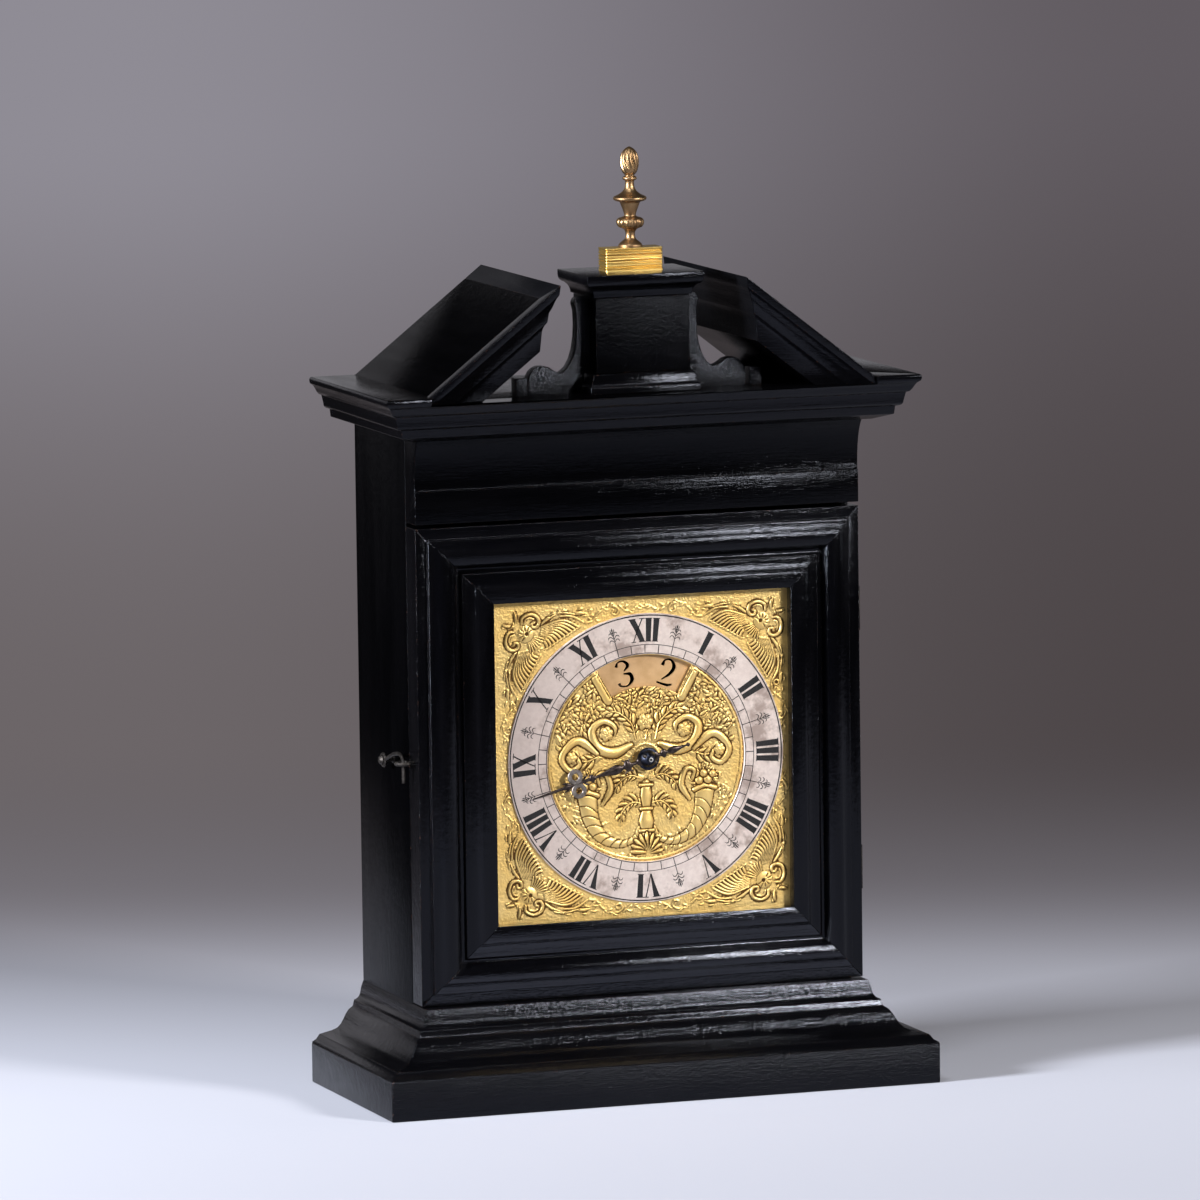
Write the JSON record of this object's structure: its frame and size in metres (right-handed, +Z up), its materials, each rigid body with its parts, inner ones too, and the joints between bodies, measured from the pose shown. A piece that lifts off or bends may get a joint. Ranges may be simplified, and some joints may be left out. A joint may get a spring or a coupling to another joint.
{
  "type": "night clock",
  "caption": "Ebonised table night clock: architectural case with broken pediment, hinged glassless door carrying a gilt dial, pierced hour disc, movement and pendulum, and a lamp behind",
  "frame": {"origin": "centre of the plinth's underside", "axes": "+X to the right seen from the front, +Y to the back, +Z up"},
  "size_m": [0.34, 0.152, 0.5561],
  "materials": {
    "ebonised_wood": "polished, slightly worn",
    "worn_wood": "satin, worn",
    "gilt_brass": "fire gilt, chased",
    "brass": "satin",
    "silvered_brass": "silvered, tarnished",
    "blued_steel": "blued",
    "steel": "satin",
    "wrought_iron": "dark, hand forged",
    "copper": "satin copper",
    "lead": "dull"
  },
  "bodies": {
    "case": {"plinth_board": "worn_wood", "front_sill": "ebonised_wood", "base_moulding_front": "ebonised_wood", "base_moulding_left": "ebonised_wood", "base_moulding_right": "ebonised_wood", "side_board_left": "ebonised_wood", "side_board_right": "ebonised_wood", "back_board": "ebonised_wood", "top_board": "ebonised_wood", "frieze_board": "ebonised_wood", "cornice_front": "ebonised_wood", "cornice_left": "ebonised_wood", "cornice_right": "ebonised_wood", "pediment_core_left": "ebonised_wood", "pediment_core_right": "ebonised_wood", "rake_moulding_left": "ebonised_wood", "rake_moulding_right": "ebonised_wood", "return_moulding_left": "ebonised_wood", "return_moulding_right": "ebonised_wood", "pediment_block_left": "worn_wood", "pediment_block_right": "worn_wood", "pedestal_base": "ebonised_wood", "pedestal_die": "worn_wood", "pedestal_cap": "ebonised_wood", "fret_left": "worn_wood", "fret_right": "worn_wood", "finial_block": "gilt_brass", "finial": "gilt_brass", "hook_stud": "wrought_iron", "hinge_upper": "wrought_iron", "hinge_lower": "wrought_iron", "lamp_bracket": "wrought_iron", "lamp": "brass"},
    "door_hook": {"door_hook": "wrought_iron"},
    "front_door": {"door_stile_left": "ebonised_wood", "door_stile_right": "ebonised_wood", "door_rail_top": "ebonised_wood", "door_rail_bottom": "ebonised_wood", "door_eye": "wrought_iron", "door_hinge_leaf_upper": "wrought_iron", "door_hinge_leaf_lower": "wrought_iron", "dial_plate": "gilt_brass", "chapter_ring": "silvered_brass", "movement_front_plate": "brass", "movement_back_plate": "brass"},
    "hour_work": {"hour_hand": "blued_steel", "hand_collet": "silvered_brass", "taper_pin": "wrought_iron", "numeral_disc": "copper", "hour_wheel": "brass"},
    "barrel": {"great_wheel": "brass", "barrel_cap": "brass", "mainspring": "blued_steel"},
    "second_wheel": {"second_wheel": "brass"},
    "escape_wheel": {"escape_wheel": "brass"},
    "pendulum": {"pendulum_rod": "steel", "pendulum_bob": "lead"},
    "winding_arbor": {"winding_arbor": "steel"},
    "click": {"click": "steel"}
  },
  "joints": [
    {"name": "door_swing", "type": "hinge", "parent": "case", "child": "front_door", "pos_m": [0.1407, -0.01795, 0.2], "axis": [0, 0, 1], "range_deg": [0, 110]},
    {"name": "hook_lift", "type": "hinge", "parent": "case", "child": "door_hook", "pos_m": [-0.1435, 0.011, 0.1995], "axis": [-1, 0, 0], "range_deg": [0, 100]},
    {"name": "hour_turn", "type": "hinge", "parent": "front_door", "child": "hour_work", "pos_m": [0.0026, 0, 0.198], "axis": [0, 1, 0], "continuous": true},
    {"name": "barrel_turn", "type": "hinge", "parent": "front_door", "child": "barrel", "pos_m": [0.0026, 0, 0.162], "axis": [0, 1, 0], "continuous": true},
    {"name": "second_turn", "type": "hinge", "parent": "front_door", "child": "second_wheel", "pos_m": [-0.02892, 0, 0.1802], "axis": [0, 1, 0], "continuous": true},
    {"name": "escape_turn", "type": "hinge", "parent": "front_door", "child": "escape_wheel", "pos_m": [-0.01843, 0, 0.20616], "axis": [0, 1, 0], "continuous": true},
    {"name": "pendulum_swing", "type": "hinge", "parent": "front_door", "child": "pendulum", "pos_m": [-0.01843, 0, 0.22266], "axis": [0, 1, 0], "range_deg": [-4, 4]},
    {"name": "winding_turn", "type": "hinge", "parent": "front_door", "child": "winding_arbor", "pos_m": [0.0026, 0, 0.162], "axis": [0, 1, 0], "continuous": true},
    {"name": "click_lift", "type": "hinge", "parent": "front_door", "child": "click", "pos_m": [-0.0005, 0.0123, 0.17872], "axis": [0, 1, 0], "range_deg": [0, 14]}
  ],
  "couplings": [
    {"joint": "barrel_turn", "follows": "hour_turn", "ratio": -1},
    {"joint": "second_turn", "follows": "hour_turn", "ratio": 6},
    {"joint": "escape_turn", "follows": "hour_turn", "ratio": -36}
  ]
}
